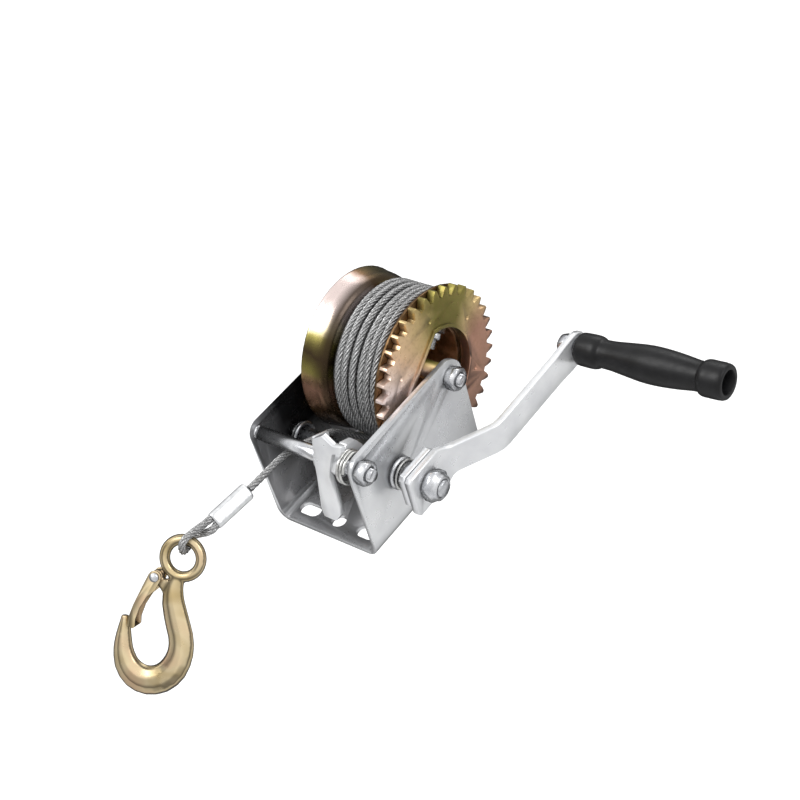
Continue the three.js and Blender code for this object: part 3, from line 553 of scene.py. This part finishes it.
# Painted shade: the turns underneath are a far darker copy of the wire.
SHADED_INNER_WIRE = rope_surface("shaded_inner_wire", 0.22)
BLACK = plastic_surface()
SLEEVE = dull_surface("pressed_aluminium", light=(0.88, 0.89, 0.90), dark=(0.70, 0.71, 0.72), roughness=0.34)
SPRING_WIRE = dull_surface("spring_wire", light=(0.72, 0.72, 0.70), dark=(0.45, 0.45, 0.44), roughness=0.28)
SHAFT_STEEL = dull_surface("shaft_steel", light=(0.66, 0.67, 0.69), dark=(0.42, 0.43, 0.45), roughness=0.3)


# ---------- rope ----------

# Each strand's radius is a share of the rope's.
STRANDS = 6
STRAND_SHARE = 0.37
ROPE_LAY = 9.5 * ROPE_RADIUS
CORD_RADIUS = 0.985 * ROPE_RADIUS
CORD_STEP = 0.7 * MM

# The middle of the rope from the drum to the sleeve, and of its loop, in millimetres.
ROPE_ROUTE = [
    (-9.9, 9.2, 22.9), (-10.4, 6.2, 25.6), (-10.8, 3.3, 28.5), (-11.4, -1, 33.4), (-12.1, -5.4, 38.3),
    (-12.7, -9.7, 43.1), (-13, -12, 45.2), (-13.4, -14.6, 47), (-13.8, -17.5, 48.2), (-14.8, -24, 50.4),
    (-15.8, -31, 52.8), (-16.8, -38, 55), (-17.7, -45, 56.6), (-18.5, -52.5, 57.1), (-19.4, -62.5, 56.6),
    (-20.6, -77.5, 55.9),
]
LOOP_ROUTE = [
    (-25.1, -105.6, 57.2), (-25.6, -108.9, 57.3), (-25.9, -112.2, 57.6), (-26.1, -115.5, 58.2),
    (-26.2, -118.8, 58.7), (-26.3, -122.2, 59.2), (-26.5, -125.5, 59.2), (-26.8, -128.1, 57.5),
    (-27.5, -128.6, 54.3), (-28.7, -127.8, 51.3), (-30.1, -125.7, 49.1), (-31.4, -122.8, 48.1),
    (-32.3, -119.6, 48.6), (-32.4, -117, 50.4), (-29.9, -115, 51.3), (-27, -113.3, 52), (-24.2, -111.6, 52.6),
    (-22.1, -109.1, 53.2), (-22.1, -105.8, 53.4),
]


def strand_reach(angle, radius):
    """How far the rope's skin stands from its middle, where six round strands lie side by side."""
    strand = STRAND_SHARE * radius
    centre = radius - strand
    turn = angle * STRANDS / (2 * math.pi)
    local = (turn - round(turn)) * 2 * math.pi / STRANDS
    return centre * math.cos(local) + math.sqrt(max(0, strand ** 2 - (centre * math.sin(local)) ** 2))


def stranded(path, radius, per_strand):
    """Points and faces of a laid rope along a path."""
    run = [0.0]
    for a, b in zip(path, path[1:]):
        run.append(run[-1] + (b - a).length)
    count = STRANDS * per_strand
    angles = [2 * math.pi * k / count for k in range(count)]
    reach = [strand_reach(angle, radius) for angle in angles]

    def section(i):
        twist = 2 * math.pi * run[i] / ROPE_LAY
        return [(r * math.cos(a + twist), r * math.sin(a + twist)) for a, r in zip(angles, reach)]

    return swept(frames_along(path), section)


def add_cord(name, route, node, **facts):
    """A stretch of free rope along a route, held by the frame."""
    path = even_path([Vector(point) * MM for point in route], CORD_STEP)
    rope = mesh_object(name, *stranded(path, CORD_RADIUS, per_strand=8), WIRE, ROUND_ANGLE)
    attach(rope, "frame_body")
    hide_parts(node)
    return rope


# The top layer of the wound rope, from where the free rope leaves it.
LEAVING_ANGLE = math.radians(221.7)
TOP_TURNS = 6.49
TURN_STEPS = 120
TURN_PITCH = 1.9 * ROPE_RADIUS
TOP_CLEARANCE = 0.1 * MM
SIDEWAYS_WANDER = 0.25 * MM
INWARD_WANDER = 0.3 * MM
DIVE_DEPTH = 4 * MM
DIVE_TURNS = 0.12

# Extra space after some of the turns: (turn, gap), each opening over part of a turn.
GROUP_GAPS = [(2.05, 1.9 * MM), (3.1, 1.7 * MM), (5.55, 1.1 * MM)]
GAP_TURNS = 0.3

# The turns underneath.
INNER_TURNS = 8
INNER_RADIUS = 32 * MM
INNER_DROP = 3.3 * MM
INNER_GAP = 0.2 * MM
BEAD_STEPS = 6


def ease(value, start, width):
    """A smooth rise from 0 to 1."""
    t = min(1, max(0, (value - start) / width))
    return t * t * (3 - 2 * t)


def wander(turn, rate, row):
    """A slow uneven drift along the turns, between about -1 and 1."""
    return noise.noise(Vector((turn * rate, row, 0)))


def wound_path():
    """The top layer: turns that lie in small groups, and dive under at the last one."""
    steps = round(TOP_TURNS * TURN_STEPS)
    path = []
    for i in range(steps + 1):
        turn = TOP_TURNS * i / steps
        angle = LEAVING_ANGLE + 2 * math.pi * turn
        x = WINDING_LOW.x + ROPE_RADIUS + TURN_PITCH * turn
        x += sum(gap * ease(turn, start, GAP_TURNS) for start, gap in GROUP_GAPS)
        x += SIDEWAYS_WANDER * wander(turn, rate=3.1, row=0.3)
        radius = WINDING_RADIUS - ROPE_RADIUS - TOP_CLEARANCE
        radius -= INWARD_WANDER * abs(wander(turn, rate=4.3, row=5.7))
        radius -= DIVE_DEPTH * ease(turn, TOP_TURNS - DIVE_TURNS, DIVE_TURNS)
        path.append(DRUM_AXIS + Vector((x, radius * math.cos(angle), radius * math.sin(angle))))
    return path


def lower_layer():
    """The turns underneath, seen only in the gaps: a ring with one bead for each turn."""
    low, high = WINDING_LOW.x + INNER_GAP, WINDING_HIGH.x - INNER_GAP
    bead = (high - low) / INNER_TURNS / 2
    valley = WINDING_RADIUS - INNER_DROP - bead
    outer = []
    for k in range(INNER_TURNS):
        for step in range(BEAD_STEPS):
            t = step / BEAD_STEPS * math.pi
            outer.append((low + bead * (2 * k + 1 - math.cos(t)), valley + bead * math.sin(t)))
    outer.append((high, valley))
    profile = [(low, INNER_RADIUS)] + outer + [(high, INNER_RADIUS), (low, INNER_RADIUS)]
    return lathe(profile, DRUM_AXIS, X_AXIS, sides=72)


def add_winding():
    rope = mesh_object("wound_rope", *stranded(wound_path(), ROPE_RADIUS, per_strand=6), WIRE, ROUND_ANGLE)
    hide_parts("cable_winding")
    inner = mesh_object("inner_turns", *lower_layer(), SHADED_INNER_WIRE, ROUND_ANGLE)
    for turns in (rope, inner):
        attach(turns, "drum")


SLEEVE_FROM = Vector((-20.8, -78.5, 55.8)) * MM
SLEEVE_TO = Vector((-23.6, -105.4, 55.3)) * MM
SLEEVE_WIDE = Vector((0.62, 0, -0.78))

# Half sizes in millimetres; the ends, bites and waist are shares of the sleeve's length or depth.
SLEEVE_HALF_WIDTH = 5.25
SLEEVE_HALF_DEPTH = 3.75
SLEEVE_STEPS = 60
SLEEVE_SIDES = 40
SLEEVE_ROUNDED_END = 0.06
SLEEVE_END_SIZE = 0.86
SLEEVE_BITES = 3
SLEEVE_BITE_FROM = 0.08
SLEEVE_BITE_DEPTH = 0.055
SLEEVE_WAIST_DEPTH = 0.13


def sleeve_outline(t):
    """The sleeve's outline at a fraction of its length: a rounded slot, waisted where it is pressed."""
    end = min(t, 1 - t) / SLEEVE_ROUNDED_END
    size = 1 if end >= 1 else SLEEVE_END_SIZE + (1 - SLEEVE_END_SIZE) * math.sqrt(1 - (1 - end) ** 2)
    press = max(0, math.sin(SLEEVE_BITES * 2 * math.pi * (t - SLEEVE_BITE_FROM)))
    bite = 1 - SLEEVE_BITE_DEPTH * press ** 2
    outline = []
    for k in range(SLEEVE_SIDES):
        angle = 2 * math.pi * k / SLEEVE_SIDES
        waist = 1 - SLEEVE_WAIST_DEPTH * abs(math.sin(angle)) ** 6
        across = SLEEVE_HALF_WIDTH * math.copysign(abs(math.cos(angle)) ** 0.8, math.cos(angle))
        up = SLEEVE_HALF_DEPTH * math.sin(angle) * waist * bite
        outline.append((across * MM * size, up * MM * size))
    return outline


def add_sleeve():
    """The sleeve, pressed in three bites round the two parts of the rope."""
    run = SLEEVE_TO - SLEEVE_FROM
    heading = run.normalized()
    wide = (SLEEVE_WIDE - heading * SLEEVE_WIDE.dot(heading)).normalized()
    thin = heading.cross(wide)
    places = [SLEEVE_FROM + run * (i / SLEEVE_STEPS) for i in range(SLEEVE_STEPS + 1)]
    frames = [(place, heading, wide, thin) for place in places]
    body = swept(frames, lambda i: sleeve_outline(i / SLEEVE_STEPS))
    sleeve = mesh_object("pressed_sleeve", *body, SLEEVE, 50)
    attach(sleeve, "frame_body")
    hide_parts("ferrule")
    return sleeve


def add_ropes():
    sleeve = add_sleeve()
    loop = add_cord("rope_loop", LOOP_ROUTE, "cable_loop", far_end="object")
    add_cord("pulling_rope", ROPE_ROUTE, "free_cable", far_end="fitting",
             with_pieces=[sleeve, loop, "hook", "hook_latch", "latch_rivet", "latch_spring"])
    add_winding()


# ---------- turned and wound pieces ----------

def turned_piece(name, profile, origin, axis, material, body, sides, angle):
    """A turned piece; the profile is in millimetres along the axis and out from it."""
    scaled = [(along * MM, radius * MM) for along, radius in profile]
    piece = mesh_object(name, *lathe(scaled, origin, axis, sides), material, angle)
    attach(piece, body)
    return piece


THREAD_HEIGHT = 0.22
THREAD_ROOT = 0.3


def add_thread(name, origin, axis, body, start, length, radius, pitch=1.25):
    """The crests of a screw thread, as a thin ribbed sleeve on a plain rod; sizes in millimetres."""
    inside = radius - THREAD_ROOT
    count = int(length / pitch)
    end = start + count * pitch
    profile = [(start, inside), (start, radius)]
    for k in range(count):
        at = start + k * pitch
        profile.append((at + 0.15 * pitch, radius))
        profile.append((at + 0.5 * pitch, radius + THREAD_HEIGHT))
        profile.append((at + 0.85 * pitch, radius))
    profile += [(end, radius), (end, inside), (start, inside)]
    turned_piece(name, profile, origin, axis, NUT_ZINC, body, sides=40, angle=20)


# How far from the drum's axis the clamp screw's thread starts, in millimetres.
CLAMP_SCREW_REACH = 18


def add_threads():
    add_thread("tie_thread", TIE_AXIS, X_AXIS, "frame_body", start=38.8, length=8.6, radius=4)
    add_thread("axle_thread", DRUM_AXIS, X_AXIS, "frame_body", start=38.8, length=8.0, radius=4)
    add_thread("shaft_thread", DRIVE_AXIS, X_AXIS, "drive", start=60.4, length=10, radius=5,
               pitch=1.5)
    add_thread("grip_bolt_thread", GRIP_ORIGIN, GRIP_AXIS, "drive", start=-10.8, length=1.7, radius=4,
               pitch=0.85)
    inward = Vector((0, -math.sqrt(0.5), -math.sqrt(0.5)))
    across = X_AXIS * middle("cable_clamp_screw").x
    top = DRUM_AXIS + across - inward * CLAMP_SCREW_REACH * MM
    add_thread("clamp_thread", top, inward, "drum", start=0.2, length=5.8, radius=2.4, pitch=0.8)


# In millimetres; the outline is (fraction of the length, radius).
GRIP_LENGTH = 99
GRIP_START = 3.9
GRIP_BORE = 4.35
GRIP_STEP = 1.6
GRIP_COLLAR = [
    (0.0, GRIP_BORE), (0.0, 8.9), (0.004, 9.4), (0.012, 9.9), (0.03, 10.15),
    (0.1, 10.3), (0.125, 10.2), (0.145, 9.7), (0.152, 9.2), (0.158, 8.8),
]
GRIP_SWELLING = [
    (0.165, 8.6), (0.24, 8.9), (0.34, 10), (0.46, 11.2),
    (0.56, 11.3), (0.68, 10.5), (0.79, 9.2), (0.83, 9),
]
GRIP_END = [
    (0.836, 9.1), (0.842, 9.6), (0.85, 10.4), (0.862, 10.85), (0.875, 11),
    (0.96, 10.95), (0.985, 10.7), (0.996, 10.2), (1.0, 9.6), (1.0, 7.6),
    (0.994, 7.1), (0.85, 7.0), (0.848, GRIP_BORE), (0.0, GRIP_BORE),
]


def add_grip():
    """The moulded grip: a collar at each end, and a swelling between them."""
    curve = even_path([Vector((f * GRIP_LENGTH, r, 0)) for f, r in GRIP_SWELLING], GRIP_STEP)
    profile = [(GRIP_START + f * GRIP_LENGTH, r) for f, r in GRIP_COLLAR]
    profile += [(GRIP_START + point.x, point.y) for point in curve]
    profile += [(GRIP_START + f * GRIP_LENGTH, r) for f, r in GRIP_END]
    grip = turned_piece("moulded_grip", profile, GRIP_ORIGIN, GRIP_AXIS, BLACK,
                        "handle_grip", sides=96, angle=40)
    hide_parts("grip")


COIL_FROM = 28.4 * MM
COIL_TO = 33.7 * MM
COIL_RADIUS = 9.4 * MM
COIL_TURNS = 2.5
COIL_START = -0.4
COIL_STEPS = 40
COIL_WIRE = 0.9 * MM


def coil_points():
    """The middle of the pawl spring's wire."""
    count = round(COIL_TURNS * COIL_STEPS)
    points = []
    for i in range(count + 1):
        t = i / count
        angle = COIL_START + 2 * math.pi * COIL_TURNS * t
        x = COIL_FROM + (COIL_TO - COIL_FROM) * t
        points.append(TIE_AXIS + Vector((x, COIL_RADIUS * math.cos(angle), COIL_RADIUS * math.sin(angle))))
    return points


def add_pawl_spring():
    wire = swept(frames_along(coil_points()), lambda i: circle(COIL_WIRE, sides=14))
    spring = mesh_object("wound_pawl_spring", *wire, SPRING_WIRE, ROUND_ANGLE)
    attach(spring, "pawl_body")
    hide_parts("pawl_spring")


# ---------- CAD nodes that keep their shape ----------

WELD_DISTANCE = 0.002 * MM


def dress(node, material, angle=32, bevel=0.0):
    """A CAD node with its own surface, smooth round faces and slightly broken edges."""
    obj = NODES[node]
    weld = obj.modifiers.new("weld", "WELD")
    weld.merge_threshold = WELD_DISTANCE
    obj.data.materials.clear()
    obj.data.materials.append(material)
    smooth(obj, angle)
    if bevel:
        made = obj.modifiers.new("edges", "BEVEL")
        made.width = bevel
        made.segments = 2
        made.limit_method = "ANGLE"
        made.angle_limit = math.radians(angle)
        made.harden_normals = True
    return obj


def dress_plain_metal():
    """The zinc and steel pieces; the left plate's inner side gets the zinc with painted shade."""
    plates = dress("frame", FRAME_ZINC, bevel=0.35 * MM)
    plates.data.materials.append(SHADED_ZINC)
    for face in plates.data.polygons:
        inner_side_of_left_plate = face.normal.x > 0.9 and face.center.x < 0
        if inner_side_of_left_plate:
            face.material_index = 1
    for node in ("tie_nut_right", "axle_nut", "crank_lock_nut", "grip_nut", "grip_washer",
                 "cable_clamp_screw", "latch_rivet", "thrust_washer", "shaft_collar"):
        dress(node, NUT_ZINC)
    for node in ("tie_rod", "axle_bolt", "grip_bolt"):
        dress(node, ROD_ZINC)
    for node in ("drive_bush_left", "drive_bush_right", "pinion_shaft", "cable_clamp"):
        dress(node, SHAFT_STEEL)
    for node in ("shaft_clip", "spring_washer", "latch_spring"):
        dress(node, SPRING_WIRE, angle=50)
    dress("crank_hub", BAR_ZINC, bevel=0.4 * MM)
    dress("crank_arm", BAR_ZINC, bevel=0.3 * MM)
    dress("pawl", BAR_ZINC, bevel=0.4 * MM)


def dress_drum():
    dress("left_flange", FLANGE_GOLD, angle=40)
    dress("right_flange", SHADED_GOLD, bevel=0.2 * MM)
    dress("drum_gear", GEAR_GOLD, bevel=0.25 * MM)
    dress("drum_barrel", BARREL_GOLD, bevel=0.2 * MM)
    dress("drum_hub_tube", GEAR_GOLD)


HOOK_GRAIN = 0.55 * MM
HOOK_SOFTENING = 18


def dress_hook():
    """The hook looks forged, so its corners melt into each other."""
    hook = dress("hook", HOOK_GOLD, angle=ROUND_ANGLE)
    melt = hook.modifiers.new("melt", "REMESH")
    melt.mode = "VOXEL"
    melt.voxel_size = HOOK_GRAIN
    melt.use_smooth_shade = True
    soften = hook.modifiers.new("soften", "SMOOTH")
    soften.factor = 0.5
    soften.iterations = HOOK_SOFTENING
    dress("hook_latch", HOOK_GOLD, angle=40, bevel=0.15 * MM)


# ---------- surroundings ----------

FLOOR_DROP = 0.22
FLOOR_REACH = 6.0
DARK_SIDE = (-0.56, 0.508, -0.655)

# Brightness of the surroundings, from below to above, and towards the dark side.
SKY_LEVELS = [(0.0, 0.95), (0.3, 0.90), (0.48, 0.72), (0.62, 0.80), (0.85, 1.0)]
DARK_LEVELS = [(0.0, 1.0), (0.4, 0.85), (0.68, 0.18), (1.0, 0.05)]


def add_floor():
    level = CAD_BOX[0][2] - FLOOR_DROP
    corners = [(x * FLOOR_REACH, y * FLOOR_REACH, level) for x, y in ((-1, -1), (1, -1), (1, 1), (-1, 1))]
    made = Surface("floor", metallic=0.0, roughness=0.9, specular=0.0)
    made.shader.inputs["Base Color"].default_value = (*PAPER, 1)
    floor = mesh_object("floor", corners, [(0, 1, 2, 3)], made.material)
    floor.visible_glossy = False


def area_light(name, place, target, size, power):
    data = bpy.data.lights.new(name, "AREA")
    data.shape = "RECTANGLE"
    data.size, data.size_y = size
    data.energy = power
    light = bpy.data.objects.new(name, data)
    heading = Vector(target) - Vector(place)
    light.matrix_world = Matrix.Translation(place) @ heading.to_track_quat("-Z", "Y").to_matrix().to_4x4()
    bpy.context.scene.collection.objects.link(light)


def add_world():
    """A pale studio, bright overhead, with one dark side that gives the metal its dark edges."""
    world = bpy.data.worlds.new("studio")
    bpy.context.scene.world = world
    world.use_nodes = True
    tree = world.node_tree

    def node(kind, **values):
        made = tree.nodes.new(kind)
        for key, value in values.items():
            setattr(made, key, value)
        return made

    def ramp(value, low, high, stops):
        part = node("ShaderNodeMapRange")
        part.inputs["From Min"].default_value = low
        part.inputs["From Max"].default_value = high
        tree.links.new(value, part.inputs["Value"])
        made = node("ShaderNodeValToRGB")
        elements = made.color_ramp.elements
        while len(elements) < len(stops):
            elements.new(0.5)
        for element, (position, level) in zip(elements, stops):
            element.position = position
            element.color = (level, level, level, 1)
        tree.links.new(part.outputs["Result"], made.inputs["Fac"])
        return made.outputs["Color"]

    place = node("ShaderNodeTexCoord").outputs["Generated"]
    split = node("ShaderNodeSeparateXYZ")
    tree.links.new(place, split.inputs["Vector"])
    height = ramp(split.outputs["Z"], -1, 1, SKY_LEVELS)
    facing = node("ShaderNodeVectorMath", operation="DOT_PRODUCT")
    tree.links.new(place, facing.inputs[0])
    facing.inputs[1].default_value = DARK_SIDE
    shade = ramp(facing.outputs["Value"], 0.2, 1, DARK_LEVELS)
    both = node("ShaderNodeMix", data_type="RGBA", blend_type="MULTIPLY")
    both.inputs[0].default_value = 1.0
    tree.links.new(height, both.inputs[MIX_A])
    tree.links.new(shade, both.inputs[MIX_B])
    background = tree.nodes["Background"]
    tree.links.new(both.outputs[MIX_RESULT], background.inputs["Color"])
    background.inputs["Strength"].default_value = 0.95


def add_lights():
    area_light("key", place=(-0.7, -0.7, 1.6), target=(0, 0, 0), size=(1.2, 1.2), power=20)
    area_light("side", place=(1.5, 0.5, 1.2), target=(0, 0, 0), size=(0.9, 1.2), power=8)
    area_light("back", place=(-0.3, 1.6, 1.1), target=(0, 0, 0.05), size=(1.2, 0.6), power=6)
    bpy.context.scene.view_settings.view_transform = "Standard"


# ---------- the scene ----------

add_camera()
add_ropes()
add_grip()
add_threads()
add_pawl_spring()
add_floor()
add_world()
add_lights()
dress_plain_metal()
dress_drum()
dress_hook()
